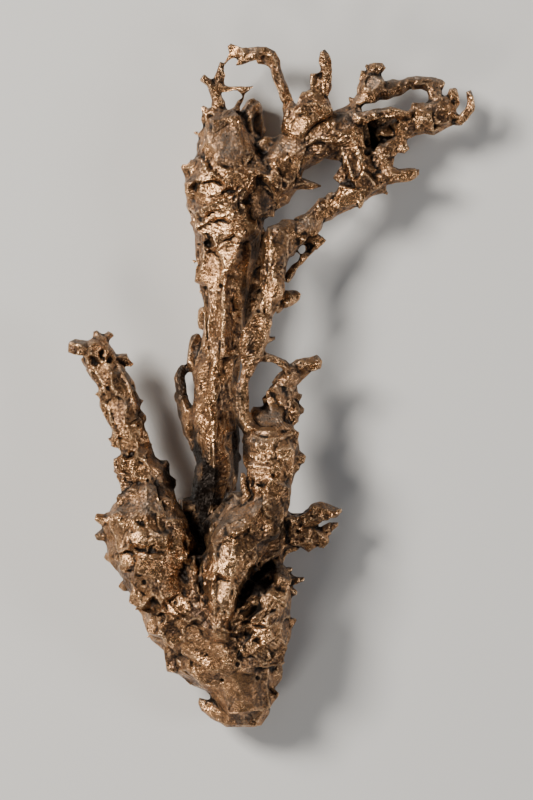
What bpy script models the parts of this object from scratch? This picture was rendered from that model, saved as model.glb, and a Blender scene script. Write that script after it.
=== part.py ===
"""Native copper nugget: a tree-like specimen of branching, hackly metal that lies on its back.

Shapes are set out on a survey grid seen from above: columns run to the right, rows run down the
specimen from its crown to its tip, and heights run up from the surface that it rests on.
"""

import math
import random

import bmesh
import bpy
from mathutils import Matrix, Vector
from mathutils.bvhtree import BVHTree

# Driving dimensions, in metres.
SPECIMEN_LENGTH = 0.172  # crown to tip
GRID_ROWS = 688  # survey steps over that length
FORK_GAP = 0.0003  # kerf between two branches where they part
BASE_SKIN = 0.0005  # voxel that fuses the limbs into one body
HACKLE_DEPTH = 0.0004  # height of the uneven relief between the crystals
FACE_BUDGET = 9400  # triangles left on the whole specimen
REST_SNAP = 0.00008  # whatever is lower than this lies flat on the surface
CRYSTAL_COUNT = 190  # small block crystals that crust the limbs
CRYSTAL_SIZES = (0.002, 0.0065)  # shortest and longest block
CRYSTAL_RISE = (0.0001, 0.0007)  # how far a block's highest corner stands out of its limb
CRYSTAL_TILT = 0.5  # sideways lean of a block against its height
FRONT_RISE = 0.0009  # the same for the named crystals on the front
BARE_LIMBS = {
    "climber",
    "low_finger",
    "high_finger",
    "back_fin",
    "stem_web",
    "crown_link",
    "loop_stalk",
    "side_upper_prong",
    "side_lower_prong",
    "lower_body",
    "right_shoulder",
}

STEP = SPECIMEN_LENGTH / GRID_ROWS
MID_COLUMN, MID_ROW = 271.0, 386.0  # the survey point that lies over the origin
RING_SIDES = 8
RING_JITTER = 0.12
SEED = 29

# A limb is a list of stations: left or upper edge (column, row), right or lower edge
# (column, row), height of the middle, and half of the thickness.
LIMBS = {
    "lower_body": [
        (224, 728, 262, 726, 40, 13),
        (219, 718, 270, 715, 40, 21),
        (215, 705, 276, 700, 41, 28),
        (208, 692, 275, 688, 42, 34),
        (195, 686, 281, 674, 43, 40),
        (172, 672, 281, 662, 45, 45),
        (168, 655, 284, 650, 47, 50),
        (150, 640, 289, 640, 48, 54),
        (142, 622, 290, 622, 49, 56),
        (139, 604, 290, 600, 50, 57),
        (135, 585, 275, 575, 50, 56),
        (142, 560, 262, 550, 50, 50),
    ],
    "left_lobe": [
        (150, 612, 190, 612, 68, 40),
        (129, 592, 193, 595, 70, 46),
        (119, 575, 195, 575, 72, 50),
        (109, 560, 196, 558, 72, 51),
        (106, 548, 195, 545, 72, 51),
        (103, 530, 191, 528, 72, 49),
        (107, 514, 186, 515, 71, 45),
        (119, 500, 177, 500, 68, 36),
        (122, 486, 173, 486, 66, 28),
    ],
    "centre_lobe": [
        (210, 640, 236, 640, 84, 24),
        (203, 618, 236, 620, 88, 34),
        (202, 595, 242, 597, 90, 40),
        (204, 570, 254, 568, 92, 42),
        (206, 548, 268, 547, 92, 42),
        (211, 530, 280, 528, 91, 37),
        (226, 512, 286, 510, 88, 31),
        (247, 498, 289, 497, 86, 27),
    ],
    "right_lobe": [
        (235, 668, 281, 665, 62, 34),
        (241, 640, 288, 640, 66, 36),
        (246, 615, 290, 612, 66, 36),
        (252, 595, 291, 596, 64, 34),
        (262, 578, 290, 578, 60, 28),
        (270, 565, 285, 567, 56, 20),
    ],
    "right_shoulder": [
        (240, 590, 284, 580, 46, 36),
        (240, 562, 284, 558, 46, 34),
        (238, 535, 285, 535, 48, 32),
        (240, 514, 284, 513, 48, 25),
    ],
    "crotch": [
        (165, 575, 240, 575, 40, 40),
        (172, 545, 238, 545, 36, 34),
        (174, 520, 235, 520, 32, 28),
        (176, 499, 232, 500, 30, 24),
    ],
    "grey_web": [
        (206, 548, 252, 545, 76, 24),
        (203, 524, 252, 515, 74, 18),
        (221, 506, 250, 502, 72, 15),
        (226, 492, 246, 490, 70, 12),
        (231, 484, 243, 482, 70, 8),
    ],
    "tip_hook": [
        (220, 702, 222, 727, 42, 9),
        (211, 700, 211, 720, 40, 8),
        (203, 700, 203, 713, 38, 6),
        (199, 697, 198, 706, 37, 4),
    ],
    "left_branch": [
        (121, 498, 176, 496, 67, 30),
        (122, 486, 174, 484, 66, 27),
        (116, 472, 170, 474, 66, 24),
        (117, 463, 165, 465, 65, 22),
        (121, 455, 155, 455, 64, 20),
        (116, 443, 151, 445, 63, 19),
        (111, 428, 147, 430, 62, 18),
        (110, 417, 145, 416, 61, 17),
        (107, 406, 141, 405, 60, 17),
        (99, 391, 137, 391, 59, 16),
        (91, 378, 133, 382, 58, 15),
        (83, 368, 126, 370, 57, 14),
        (81, 360, 121, 363, 56, 12),
        (88, 350, 114, 353, 56, 12),
        (90, 340, 109, 342, 56, 10),
        (91, 330, 99, 329, 56, 5),
    ],
    "left_branch_knob": [
        (99, 337, 100, 362, 60, 12),
        (86, 339, 87, 358, 63, 10),
        (75, 339, 75, 352, 65, 8),
        (69, 342, 68, 350, 66, 5),
    ],
    "main_stem": [
        (190, 530, 230, 530, 34, 26),
        (191, 505, 231, 505, 35, 25),
        (194, 480, 234, 480, 37, 26),
        (197, 462, 234, 462, 37, 25),
        (191, 440, 232, 440, 37, 25),
        (190, 418, 234, 415, 38, 25),
        (195, 395, 234, 395, 39, 25),
        (191, 372, 238, 370, 40, 25),
        (199, 352, 242, 350, 41, 26),
        (203, 330, 244, 330, 42, 27),
        (204, 305, 246, 305, 42, 28),
        (200, 285, 250, 285, 41, 31),
        (196, 262, 256, 262, 40, 35),
        (193, 240, 260, 240, 38, 39),
        (190, 220, 264, 220, 37, 41),
        (187, 195, 276, 195, 37, 42),
        (187, 176, 282, 175, 38, 41),
        (195, 156, 266, 158, 38, 38),
        (200, 134, 254, 137, 38, 33),
        (203, 118, 246, 120, 37, 28),
        (209, 111, 241, 112, 36, 22),
    ],
    "stem_web": [
        (240, 224, 264, 224, 24, 8),
        (238, 240, 270, 240, 22, 12),
        (236, 262, 270, 262, 22, 13),
        (234, 284, 267, 284, 22, 13),
        (232, 306, 261, 306, 22, 12),
        (232, 326, 252, 328, 22, 9),
        (234, 340, 246, 342, 22, 5),
    ],
    "stem_knob": [
        (240, 143, 262, 142, 24, 18),
        (238, 127, 266, 129, 24, 20),
        (240, 111, 264, 113, 24, 18),
        (245, 101, 262, 103, 24, 14),
        (249, 97, 256, 97, 24, 7),
    ],
    "low_finger": [
        (192, 452, 208, 448, 28, 14),
        (183, 432, 204, 428, 26, 14),
        (178, 413, 196, 410, 25, 12),
        (176, 400, 188, 399, 24, 9),
        (174, 386, 188, 388, 24, 9),
        (173, 377, 186, 378, 24, 8),
        (177, 368, 186, 370, 24, 6),
        (181, 363, 185, 363, 24, 4),
    ],
    "high_finger": [
        (189, 374, 204, 372, 28, 13),
        (186, 358, 202, 357, 26, 10),
        (189, 346, 201, 347, 25, 8),
        (192, 337, 200, 338, 25, 6),
        (195, 332, 199, 332, 25, 4),
    ],
    "back_fin": [
        (222, 492, 236, 490, 16, 15),
        (224, 462, 238, 462, 17, 13),
        (225, 440, 240, 440, 18, 11),
        (229, 426, 239, 428, 20, 8),
        (233, 414, 238, 414, 24, 5),
    ],
    "stem_spur": [
        (188, 186, 200, 180, 44, 10),
        (184, 175, 194, 171, 46, 7),
        (181, 167, 189, 168, 47, 5),
        (181, 163, 185, 163, 47, 3),
    ],
    "loop_stalk": [
        (211, 116, 226, 114, 40, 10),
        (211, 99, 226, 103, 44, 9),
        (208, 90, 222, 94, 46, 7),
        (204, 84, 217, 87, 47, 6),
        (199, 80, 210, 78, 48, 6),
        (200, 76, 206, 73, 48, 4),
    ],
    "crown_arm": [
        (258, 156, 276, 212, 40, 34),
        (265, 147, 288, 202, 41, 32),
        (273, 138, 297, 190, 42, 29),
        (284, 128, 303, 173, 44, 26),
        (300, 122, 312, 164, 44, 24),
        (318, 118, 322, 159, 44, 23),
        (334, 112, 334, 160, 44, 23),
        (346, 105, 350, 162, 44, 22),
        (360, 98, 366, 150, 42, 18),
    ],
    "crown_lower_arm": [
        (334, 140, 366, 118, 44, 22),
        (339, 160, 372, 148, 45, 22),
        (343, 176, 380, 172, 46, 20),
        (343, 187, 386, 187, 48, 18),
        (337, 194, 372, 197, 50, 15),
        (326, 195, 356, 209, 52, 12),
        (318, 200, 340, 214, 53, 11),
        (313, 208, 324, 224, 55, 11),
        (306, 214, 316, 236, 57, 12),
        (295, 218, 305, 246, 59, 12),
        (283, 218, 294, 257, 62, 12),
        (274, 226, 284, 262, 66, 11),
    ],
    "crown_knob": [
        (350, 106, 376, 102, 44, 16),
        (357, 92, 384, 94, 44, 14),
        (361, 81, 384, 83, 44, 12),
        (362, 71, 382, 74, 44, 10),
        (365, 64, 388, 67, 44, 7),
        (368, 61, 384, 61, 44, 4),
    ],
    "crown_upper_arm": [
        (374, 81, 372, 102, 42, 13),
        (390, 80, 390, 98, 40, 11),
        (400, 78, 401, 96, 38, 10),
        (410, 76, 411, 90, 37, 8),
        (421, 74, 421, 88, 37, 8),
        (431, 75, 431, 92, 37, 8),
        (440, 78, 438, 93, 37, 7),
        (446, 81, 446, 87, 37, 4),
    ],
    "crown_link": [
        (422, 82, 440, 82, 38, 7),
        (429, 97, 444, 95, 43, 7),
        (428, 110, 445, 106, 46, 9),
    ],
    "crown_ridge": [
        (352, 112, 354, 126, 54, 10),
        (366, 111, 368, 124, 60, 8),
        (380, 107, 381, 119, 62, 7),
        (390, 106, 391, 121, 62, 6),
        (400, 108, 401, 118, 60, 5),
        (411, 110, 411, 116, 58, 4),
    ],
    "crown_back_wall": [
        (356, 110, 362, 168, 26, 14),
        (372, 108, 378, 166, 24, 12),
        (388, 110, 390, 160, 25, 10),
        (402, 116, 402, 146, 30, 10),
    ],
    "crown_right_arm": [
        (390, 122, 398, 150, 38, 12),
        (400, 116, 405, 143, 42, 12),
        (412, 109, 414, 136, 44, 12),
        (424, 101, 424, 134, 46, 12),
        (436, 103, 434, 135, 46, 11),
        (446, 99, 447, 129, 45, 10),
        (456, 99, 458, 127, 43, 8),
    ],
    "crown_leaf": [
        (370, 170, 392, 167, 48, 9),
        (371, 156, 397, 151, 47, 8),
        (378, 143, 402, 139, 45, 8),
    ],
    "crown_right_tip": [
        (376, 169, 378, 188, 49, 11),
        (390, 167, 391, 183, 50, 9),
        (400, 170, 402, 181, 50, 7),
        (410, 167, 411, 180, 50, 7),
        (421, 168, 421, 176, 50, 4),
    ],
    "crown_cluster": [
        (284, 138, 330, 130, 56, 14),
        (290, 124, 334, 117, 60, 14),
        (296, 109, 333, 107, 62, 13),
        (299, 98, 330, 98, 62, 10),
        (302, 91, 328, 90, 61, 7),
    ],
    "cluster_left_prong": [
        (311, 94, 323, 94, 62, 6),
        (310, 82, 321, 82, 62, 6),
        (309, 73, 318, 72, 62, 4),
    ],
    "cluster_right_prong": [
        (318, 94, 330, 94, 62, 7),
        (320, 80, 332, 80, 63, 6),
        (320, 70, 332, 69, 64, 6),
        (318, 60, 333, 62, 64, 6),
        (318, 52, 328, 53, 64, 5),
        (322, 48, 326, 48, 64, 3),
    ],
    "cluster_heel": [
        (284, 139, 304, 142, 54, 12),
        (282, 122, 302, 126, 54, 10),
        (284, 108, 298, 110, 50, 8),
    ],
    "climber": [
        (267, 226, 286, 226, 68, 10),
        (263, 238, 286, 240, 68, 11),
        (263, 250, 290, 253, 68, 12),
        (263, 264, 286, 268, 69, 11),
        (261, 278, 283, 282, 71, 10),
        (258, 292, 283, 296, 73, 10),
        (254, 308, 275, 312, 76, 9),
        (250, 320, 271, 324, 78, 9),
        (240, 332, 271, 334, 80, 9),
        (237, 345, 266, 348, 82, 8),
        (240, 357, 264, 358, 83, 8),
        (243, 367, 257, 368, 84, 7),
        (239, 377, 252, 378, 85, 7),
        (233, 386, 250, 387, 86, 8),
        (232, 398, 249, 399, 87, 8),
        (233, 411, 249, 411, 87, 8),
        (237, 423, 253, 420, 87, 9),
        (243, 433, 262, 426, 86, 12),
    ],
    "climber_low_blade": [
        (282, 280, 288, 284, 60, 6),
        (293, 263, 299, 269, 57, 5),
        (303, 252, 311, 257, 55, 5),
        (312, 240, 321, 248, 54, 5),
        (321, 234, 328, 240, 54, 4),
    ],
    "climber_blade": [
        (276, 299, 276, 316, 64, 7),
        (286, 291, 287, 305, 61, 5),
        (295, 291, 296, 300, 59, 4),
        (301, 293, 301, 297, 58, 2),
    ],
    "front_branch": [
        (248, 508, 288, 506, 86, 29),
        (249, 495, 290, 494, 86, 27),
        (247, 484, 291, 484, 85, 26),
        (246, 474, 294, 474, 85, 26),
        (243, 462, 297, 464, 84, 26),
        (241, 452, 301, 455, 83, 26),
        (242, 441, 300, 443, 82, 25),
        (245, 432, 297, 431, 78, 21),
        (249, 421, 293, 424, 70, 15),
        (250, 411, 282, 417, 64, 10),
        (251, 405, 266, 409, 60, 6),
    ],
    "front_stub": [
        (266, 414, 298, 424, 62, 12),
        (260, 399, 303, 409, 62, 13),
        (267, 388, 300, 394, 62, 12),
        (275, 375, 298, 387, 64, 10),
        (288, 367, 304, 379, 66, 9),
        (298, 358, 313, 371, 67, 9),
        (309, 357, 322, 368, 68, 8),
        (317, 354, 322, 360, 68, 5),
    ],
    "side_branch": [
        (276, 506, 276, 556, 48, 24),
        (286, 507, 286, 550, 48, 20),
        (295, 513, 295, 546, 50, 16),
        (304, 513, 303, 549, 51, 12),
    ],
    "side_upper_prong": [
        (300, 514, 301, 536, 52, 12),
        (310, 508, 311, 531, 54, 11),
        (319, 500, 318, 525, 55, 10),
        (329, 504, 329, 520, 56, 8),
        (337, 507, 337, 518, 57, 6),
        (342, 506, 342, 512, 58, 4),
    ],
    "side_lower_prong": [
        (298, 528, 302, 550, 50, 11),
        (309, 529, 309, 553, 49, 9),
        (320, 527, 317, 547, 49, 7),
        (330, 521, 329, 536, 49, 5),
        (339, 521, 340, 526, 49, 3),
    ],
}

# A rod is a list of points: column, row, height and radius.
RODS = {
    "loop": [
        (216, 90, 46, 6),
        (219, 78, 46, 5),
        (222, 68, 48, 5),
        (227, 59, 50, 5),
        (234, 55, 52, 5),
        (244, 54, 54, 7),
        (254, 53, 55, 7),
        (264, 51, 55, 7),
        (272, 55, 54, 7),
        (275, 63, 53, 6),
        (276, 73, 52, 6),
        (281, 85, 51, 6),
        (286, 97, 50, 6),
        (290, 108, 49, 7),
        (294, 118, 48, 8),
    ],
    "twig": [(218, 85, 46, 4), (228, 89, 48, 3.5), (239, 88, 50, 4), (247, 87, 50, 3.5), (253, 87, 50, 2.5)],
    "twig_post": [(246, 90, 49, 3), (241, 99, 46, 3.5), (237, 108, 43, 4.5), (234, 118, 38, 6)],
    "arch": [(262, 358, 81, 5), (275, 359, 80, 5), (284, 364, 78, 5), (291, 373, 74, 5), (294, 382, 69, 5)],
    "hollow_rim": [(456, 124, 45, 5), (465, 117, 47, 5), (470, 106, 47, 5), (471, 96, 46, 5), (468, 90, 44, 4)],
}

# A spike runs from its root to its tip: column, row, height and radius at each.
SPIKES = [
    ((112, 523, 72, 9), (99, 518, 74, 4)),
    ((112, 534, 72, 9), (99, 536, 72, 4)),
    ((116, 560, 58, 8), (108, 556, 54, 4)),
    ((128, 586, 60, 8), (122, 586, 56, 4)),
    ((145, 604, 50, 6), (135, 610, 50, 2)),
    ((176, 668, 56, 7), (170, 668, 54, 4)),
    ((280, 574, 52, 8), (291, 569, 50, 3)),
    ((286, 583, 54, 7), (302, 579, 52, 3)),
    ((286, 594, 60, 6), (295, 592, 60, 3)),
    ((284, 630, 55, 8), (295, 619, 54, 2)),
    ((268, 700, 50, 8), (275, 695, 50, 4)),
    ((276, 548, 44, 6), (297, 550, 42, 2.5)),
    ((246, 503, 64, 7), (243, 473, 62, 3)),
    ((100, 342, 54, 8), (109, 335, 52, 4)),
    ((112, 362, 54, 7), (124, 358, 52, 5)),
    ((123, 358, 52, 5), (130, 364, 50, 3)),
    ((108, 397, 62, 5), (96, 394, 62, 2.5)),
    ((112, 404, 62, 7), (103, 404, 62, 4)),
    ((136, 418, 60, 8), (143, 417, 60, 4)),
    ((156, 468, 62, 9), (165, 464, 62, 4)),
    ((160, 482, 62, 12), (172, 483, 60, 5)),
    ((125, 470, 68, 9), (118, 469, 68, 5)),
    ((203, 328, 28, 6), (202, 308, 26, 3)),
    ((202, 478, 32, 6), (196, 468, 30, 3)),
    ((232, 458, 16, 7), (240, 458, 16, 2.5)),
    ((206, 120, 40, 7), (203, 107, 42, 3)),
    ((204, 134, 38, 6), (199, 134, 38, 3)),
    ((204, 146, 38, 6), (199, 144, 38, 3)),
    ((194, 224, 38, 6), (190, 222, 38, 3)),
    ((234, 66, 58, 3), (254, 57, 58, 6)),
    ((256, 58, 47, 4), (269, 62, 47, 4)),
    ((231, 54, 51, 5), (229, 46, 50, 4)),
    ((238, 54, 52, 5), (237, 49, 52, 5)),
    ((262, 150, 46, 8), (265, 141, 46, 6)),
    ((294, 183, 54, 8), (322, 186, 56, 2.5)),
    ((328, 118, 56, 7), (334, 114, 54, 3)),
    ((416, 116, 48, 7), (415, 106, 46, 4)),
    ((452, 104, 42, 8), (453, 91, 42, 4)),
    ((396, 142, 44, 7), (403, 148, 46, 5)),
    ((376, 136, 36, 7), (398, 127, 38, 4)),
    ((372, 188, 46, 8), (384, 190, 46, 3)),
    ((264, 340, 70, 7), (274, 338, 66, 4)),
    ((292, 396, 62, 7), (300, 396, 60, 4)),
    ((294, 408, 62, 8), (302, 410, 60, 4)),
    ((292, 456, 84, 10), (301, 458, 84, 4)),
    ((286, 466, 84, 9), (295, 467, 84, 4)),
]

# A fork is where two branches part: column, row and height of the kerf's middle, its normal and its radius.
FORKS = {
    "left_branch": ((146, 488, 68), (-0.25, 0.97, 0.0), 47),
    "main_stem": ((213, 476, 32), (0.0, 1.0, 0.0), 40),
    "front_branch": ((267, 494, 82), (0.03, 1.0, 0.0), 45),
    "side_branch": ((290, 529, 49), (1.0, 0.0, 0.0), 31),
    "climber_foot": ((241, 403, 87), (0.0, 1.0, 0.0), 14),
    "arch": ((272, 359, 80), (1.0, 0.0, 0.0), 8),
    "climber_side": ((260, 240, 66), (0.96, -0.12, 0.25), 30),
    "climber_head": ((319, 212, 55), (0.85, 0.5, 0.0), 21),
    "crown_branch": ((278, 168, 41), (0.92, 0.38, 0.0), 47),
    "loop_foot": ((217, 100, 44), (0.12, 1.0, 0.0), 14),
    "twig_foot": ((241, 97, 47), (-0.45, 0.9, 0.0), 8),
    "loop_end": ((288, 103, 49), (-0.35, 0.93, 0.0), 9),
}

# Each finished branch is known by a survey point inside it.
BRANCHES = {
    "base_mass": (220, 640, 60),
    "left_branch": (128, 430, 62),
    "main_stem": (225, 260, 38),
    "front_branch": (270, 460, 84),
    "side_branch": (302, 526, 51),
    "climbing_branch": (266, 300, 70),
    "crown_branch": (340, 140, 44),
    "crown_loop": (281, 85, 51),
}

# A crystal is a block on the front: column and row of its middle, its three sides in survey steps,
# then its turn in the plan and its two tilts, in degrees.
CRYSTALS = [
    # stacked ledges on the head of the main stem
    ((206, 186), (38, 20, 20), (-14, 10, -18)),
    ((212, 176), (22, 12, 26), (-32, 22, 10)),
    ((228, 182), (20, 18, 16), (20, -20, 8)),
    ((236, 196), (34, 9, 14), (-24, 8, 6)),
    ((222, 208), (40, 12, 12), (-20, -14, 6)),
    ((214, 224), (36, 12, 14), (-16, 16, -8)),
    ((222, 240), (40, 12, 12), (-22, -12, 8)),
    ((246, 228), (22, 22, 20), (42, 18, 26)),
    ((261, 201), (28, 30, 18), (8, 4, 34)),
    ((226, 258), (28, 26, 14), (38, 20, -10)),
    ((210, 270), (24, 30, 18), (12, -8, -26)),
    ((236, 286), (20, 40, 12), (4, 6, 24)),
    # long crystal edges down the front of the main stem
    ((224, 310), (26, 96, 26), (-2, 0, 44)),
    ((216, 372), (22, 62, 22), (5, 0, 38)),
    ((212, 436), (20, 76, 20), (-5, 0, 46)),
    ((228, 408), (14, 50, 14), (3, 0, 40)),
    # smooth front of the head, and its knobs
    ((222, 150), (34, 40, 20), (4, 6, -6)),
    ((226, 126), (30, 22, 18), (-10, 14, 10)),
    ((258, 148), (20, 16, 20), (30, 10, 30)),
    ((196, 168), (16, 10, 16), (34, -10, -20)),
    # left lobe of the base
    ((128, 526), (34, 22, 22), (24, 12, -24)),
    ((150, 540), (46, 14, 14), (-4, -24, 4)),
    ((176, 536), (20, 38, 16), (-14, 6, 24)),
    ((127, 558), (24, 18, 22), (40, 20, -20)),
    ((150, 566), (30, 26, 16), (12, 22, 6)),
    ((176, 590), (26, 24, 22), (-22, 14, 18)),
    ((150, 596), (34, 26, 22), (18, 18, -16)),
    ((130, 500), (24, 18, 20), (-20, -14, -14)),
    ((160, 506), (26, 20, 18), (16, -18, 16)),
    ((162, 618), (18, 36, 18), (20, -6, -34)),
    ((178, 628), (34, 28, 18), (-30, 12, 4)),
    ((200, 650), (34, 20, 18), (24, 14, -8)),
    ((176, 652), (24, 20, 20), (-12, 24, -14)),
    # centre lobe
    ((232, 540), (34, 20, 18), (-36, 10, -6)),
    ((222, 566), (22, 34, 16), (16, -10, -16)),
    ((246, 558), (20, 36, 18), (-30, 6, 22)),
    ((224, 596), (24, 30, 18), (-8, 14, 12)),
    ((262, 530), (30, 24, 16), (-30, -12, 16)),
    ((216, 618), (18, 24, 18), (30, 14, -12)),
    ((268, 512), (30, 16, 16), (12, -18, 10)),
    # right lobe and tip
    ((276, 590), (16, 34, 18), (26, 8, 28)),
    ((264, 616), (30, 18, 14), (-34, 14, 6)),
    ((256, 640), (36, 14, 12), (-28, 16, 4)),
    ((272, 652), (24, 20, 18), (14, -10, 26)),
    ((240, 660), (34, 16, 14), (20, 18, -6)),
    ((246, 692), (44, 40, 16), (-8, 6, 4)),
    # front branch and its stub
    ((266, 448), (26, 16, 12), (-12, -18, 8)),
    ((284, 462), (18, 28, 14), (8, 4, 26)),
    ((258, 476), (16, 30, 12), (-10, 8, -24)),
    ((276, 490), (26, 18, 14), (22, 14, 10)),
    ((290, 436), (14, 16, 16), (24, -14, 26)),
    ((288, 392), (20, 28, 10), (-34, 8, 18)),
    ((276, 396), (12, 22, 10), (-28, -6, -24)),
    # left branch
    ((118, 412), (26, 30, 12), (-24, -8, -14)),
    ((126, 440), (30, 18, 12), (12, 16, 8)),
    ((140, 432), (12, 30, 14), (-18, 4, 28)),
    ((130, 462), (32, 16, 14), (-14, -16, -6)),
    ((152, 474), (22, 20, 14), (24, 12, 20)),
    ((134, 484), (26, 16, 14), (6, -20, -12)),
    ((104, 378), (20, 24, 12), (-28, -10, -8)),
    ((120, 384), (12, 26, 12), (-26, 6, 26)),
    ((78, 348), (16, 12, 12), (10, 14, -16)),
    ((98, 352), (20, 14, 12), (30, -12, 10)),
    # crown
    ((316, 112), (26, 16, 14), (22, 14, 8)),
    ((298, 118), (20, 24, 14), (-24, -10, -16)),
    ((310, 138), (40, 14, 14), (-28, 16, 6)),
    ((340, 132), (30, 20, 12), (-20, -14, 10)),
    ((350, 172), (24, 30, 14), (30, 8, -16)),
    ((366, 182), (26, 20, 14), (-24, 12, 18)),
    ((350, 196), (30, 14, 12), (28, 16, 4)),
    ((326, 208), (22, 14, 12), (32, -10, 12)),
    ((372, 84), (18, 16, 14), (20, 12, 12)),
    ((412, 124), (30, 14, 12), (8, 16, 6)),
    ((438, 114), (16, 24, 12), (-10, 6, 20)),
    ((388, 140), (18, 22, 12), (-28, 8, 18)),
    ((286, 172), (24, 34, 14), (-22, 8, 14)),
    # climbing branch
    ((278, 238), (18, 18, 10), (-16, 12, 10)),
    ((296, 232), (26, 12, 10), (30, -14, 8)),
    ((272, 262), (18, 34, 10), (8, 6, 24)),
    ((268, 292), (18, 28, 10), (14, -6, -20)),
    ((258, 326), (22, 22, 10), (34, 12, 12)),
    ((252, 346), (16, 24, 10), (18, -8, 16)),
    # side branch
    ((298, 530), (18, 30, 12), (-10, 8, 14)),
    ((320, 512), (22, 12, 10), (14, 12, 8)),
    ((318, 538), (22, 10, 10), (38, 10, 6)),
]

# A pit is a hollow: column, row and height of its middle, and its three half widths in survey steps.
PITS = [
    ((109, 557, 92), (7, 6, 18)),
    ((116, 568, 104), (5, 8, 12)),
    ((371, 137, 66), (6, 19, 22)),
    ((457, 100, 54), (6, 8, 10)),
    ((309, 249, 70), (4, 8, 18)),
    ((300, 249, 70), (2.5, 3.5, 20)),
    ((103, 355, 72), (4, 6, 8)),
    ((114, 397, 80), (6, 4, 9)),
    ((259, 124, 46), (6, 14, 12)),
    ((246, 248, 76), (5, 12, 16)),
    ((252, 300, 62), (4, 30, 20)),
    ((461, 107, 46), (2, 3, 12)),
    ((190, 412, 52), (4, 14, 12)),
]

# A crevice is a V-shaped cleft: column, row and height of its mouth, then its half width there and
# its depth.
CREVICES = {
    "left_of_centre_lobe": [
        (198, 496, 98, 14, 56),
        (197, 514, 110, 13, 62),
        (197, 534, 118, 9, 56),
        (198, 556, 122, 6, 44),
        (200, 580, 124, 5, 36),
        (205, 601, 124, 4, 24),
        (212, 618, 122, 2, 12),
    ],
    "right_of_centre_lobe": [
        (286, 548, 92, 6, 30),
        (274, 561, 98, 9, 40),
        (262, 571, 106, 10, 44),
        (252, 581, 112, 10, 42),
        (244, 594, 116, 8, 36),
        (239, 608, 118, 5, 26),
        (232, 624, 118, 2, 12),
    ],
    "right_lobe_split": [
        (280, 600, 100, 3, 12),
        (269, 612, 108, 5, 18),
        (258, 621, 112, 4, 14),
        (247, 628, 114, 2, 8),
    ],
    "left_lobe_pit": [
        (180, 563, 124, 2, 10),
        (183, 572, 124, 5, 20),
        (186, 580, 122, 5, 16),
        (187, 587, 120, 2, 8),
    ],
    "beside_side_branch": [
        (284, 514, 84, 3, 14),
        (288, 526, 80, 6, 24),
        (288, 538, 78, 6, 24),
        (284, 548, 76, 4, 14),
    ],
    "left_lobe_ledge": [
        (132, 552, 118, 3, 8),
        (147, 550, 126, 5, 10),
        (160, 552, 126, 5, 10),
        (172, 551, 122, 3, 8),
    ],
}

COPPER = (0.48, 0.27, 0.14, 1.0)


def at(column, row, height):
    """The place, in metres, of a survey point."""
    return Vector((column - MID_COLUMN, MID_ROW - row, height)) * STEP


def clear_scene():
    for obj in list(bpy.data.objects):
        bpy.data.objects.remove(obj, do_unlink=True)


def new_collection(name):
    collection = bpy.data.collections.new(name)
    bpy.context.scene.collection.children.link(collection)
    return collection


def copper_material():
    material = bpy.data.materials.new("native_copper")
    material.use_nodes = True
    shader = material.node_tree.nodes["Principled BSDF"]
    shader.inputs["Base Color"].default_value = COPPER
    shader.inputs["Metallic"].default_value = 1.0
    shader.inputs["Roughness"].default_value = 0.45
    return material


def add_limb(bm, stations, rng, spots):
    """A loft through rings that touch both edges of each station, closed at both ends.

    Each of its faces is noted in spots with the thickness of the limb there.
    """
    rings = []
    for left_column, left_row, right_column, right_row, height, depth in stations:
        left, right = at(left_column, left_row, height), at(right_column, right_row, height)
        middle, half = (left + right) / 2, (right - left) / 2
        rise = Vector((0.0, 0.0, depth * STEP))
        ring = []
        for k in range(RING_SIDES):
            turn = 2 * math.pi * k / RING_SIDES
            on_edge = k % (RING_SIDES // 2) == 0
            swell = 1.0 if on_edge else 1.0 + rng.uniform(-RING_JITTER, RING_JITTER)
            ring.append(bm.verts.new(middle + (half * math.cos(turn) + rise * math.sin(turn)) * swell))
        rings.append(ring)
    faces = [bm.faces.new(rings[0]), bm.faces.new(rings[-1][::-1])]
    for lower, upper, station in zip(rings, rings[1:], stations):
        thickness = min((at(*station[:2], 0) - at(*station[2:4], 0)).length, 2 * station[5] * STEP)
        for k in range(RING_SIDES):
            after = (k + 1) % RING_SIDES
            face = bm.faces.new((lower[k], upper[k], upper[after], lower[after]))
            faces.append(face)
            spots.append((face, thickness))
    bmesh.ops.recalc_face_normals(bm, faces=faces)


def add_block(bm, middle, sides, turn):
    """A block of the given sides about its middle."""
    size = Matrix.Diagonal((*sides, 1.0))
    bmesh.ops.create_cube(bm, size=1.0, matrix=Matrix.Translation(middle) @ turn.to_4x4() @ size)


def add_crust(bm, spots, rng):
    """Small block crystals, tilted and half sunk, all over the limbs."""
    limbs = [(face.calc_center_median(), face.normal.copy(), [v.co.copy() for v in face.verts],
              face.calc_area(), thickness) for face, thickness in spots]
    picked = rng.choices(limbs, weights=[limb[3] for limb in limbs], k=CRYSTAL_COUNT)
    for _, normal, corners, _, thickness in picked:
        across, along = rng.random(), rng.random()
        start = corners[0].lerp(corners[1], along)
        place = start.lerp(corners[3].lerp(corners[2], along), across)
        longest = min(CRYSTAL_SIZES[1], max(CRYSTAL_SIZES[0], 0.55 * thickness))
        length = rng.uniform(max(CRYSTAL_SIZES[0], 0.45 * longest), longest)
        sides = Vector((length, length * rng.uniform(0.45, 0.8), length * rng.uniform(0.4, 0.7)))
        tilt = Vector((rng.uniform(-1, 1), rng.uniform(-1, 1), rng.uniform(-1, 1))) * CRYSTAL_TILT
        facing = (normal + tilt).normalized()
        turn = facing.to_track_quat("Z", "Y").to_matrix() @ Matrix.Rotation(rng.uniform(0, math.pi), 3, "Z")
        reach = sum(abs(turn.col[k].dot(normal)) * sides[k] for k in range(3)) / 2
        rise = rng.uniform(*CRYSTAL_RISE) * (0.3 + 0.7 * abs(normal.z))
        add_block(bm, place + normal * (rise - reach), sides, turn)


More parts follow.
